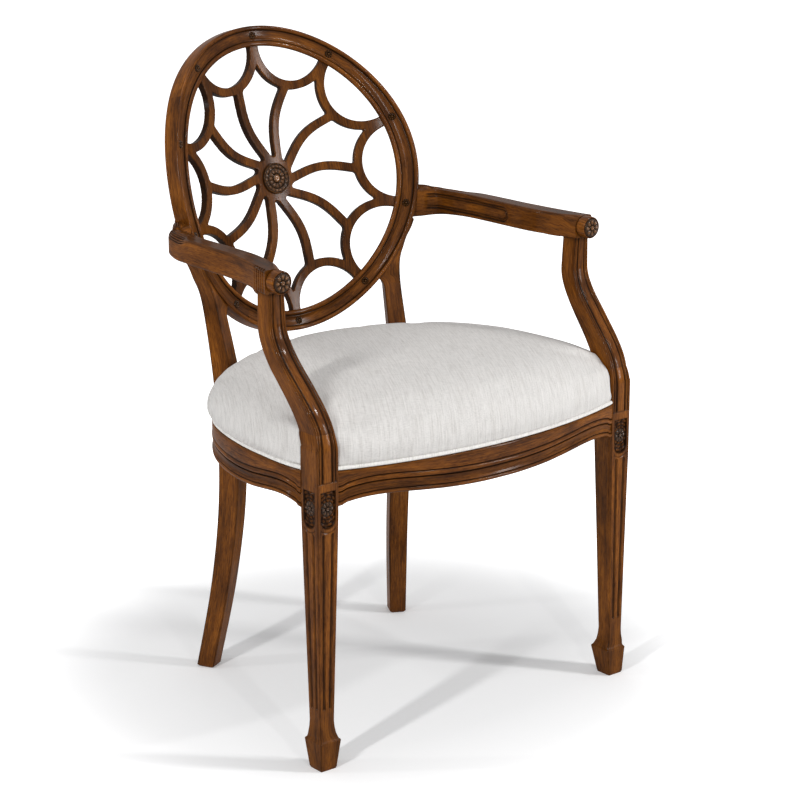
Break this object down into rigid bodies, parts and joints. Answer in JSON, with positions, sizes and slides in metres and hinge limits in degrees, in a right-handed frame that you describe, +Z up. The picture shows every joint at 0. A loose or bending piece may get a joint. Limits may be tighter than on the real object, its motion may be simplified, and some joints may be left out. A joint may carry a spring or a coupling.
{
  "type": "dining armchair",
  "caption": "Open armchair with a hollow round back pierced by swaying spokes and scallops, scrolled arms, fluted tapering legs on spade feet and a domed linen seat.",
  "frame": {"origin": "on the floor, below the middle of the chair's bounding box", "axes": "+Z up, the chair's front faces -Y, +X runs across it to the viewer's right from the front"},
  "size_m": [0.6346, 0.6397, 1.0006],
  "materials": {
    "mahogany": "warm brown stain, satin lacquer",
    "carved_wood": "dark glazed carving, satin lacquer",
    "pale_wood": "bare beech and plywood",
    "linen": "off-white woven linen with slubs",
    "black_cloth": "thin black lining cloth",
    "screw_steel": "zinc-plated wood screw"
  },
  "bodies": {
    "root": {"front_leg_left": "mahogany", "front_leg_right": "mahogany", "arm_post_left": "mahogany", "arm_post_right": "mahogany", "arm_left": "mahogany", "arm_right": "mahogany", "leg_rosettes": "carved_wood", "arm_rosettes": "carved_wood", "rear_leg_left": "mahogany", "rear_leg_right": "mahogany", "crest_rail": "mahogany", "back_ring_left": "mahogany", "back_ring_right": "mahogany", "lower_back_rail": "mahogany", "web_splat": "mahogany", "hub_medallion": "carved_wood", "ring_rosettes": "carved_wood", "front_rail": "mahogany", "left_rail": "mahogany", "right_rail": "mahogany", "back_rail": "mahogany", "corner_blocks": "pale_wood", "block_screws": "screw_steel", "seat_board": "pale_wood", "board_screws": "screw_steel", "seat_cushion": "linen", "seat_welt": "linen", "dust_cover": "black_cloth", "rail_dowels": "pale_wood", "post_dowels": "pale_wood", "ring_dowels": "pale_wood", "arm_dowels": "pale_wood"}
  },
  "joints": []
}
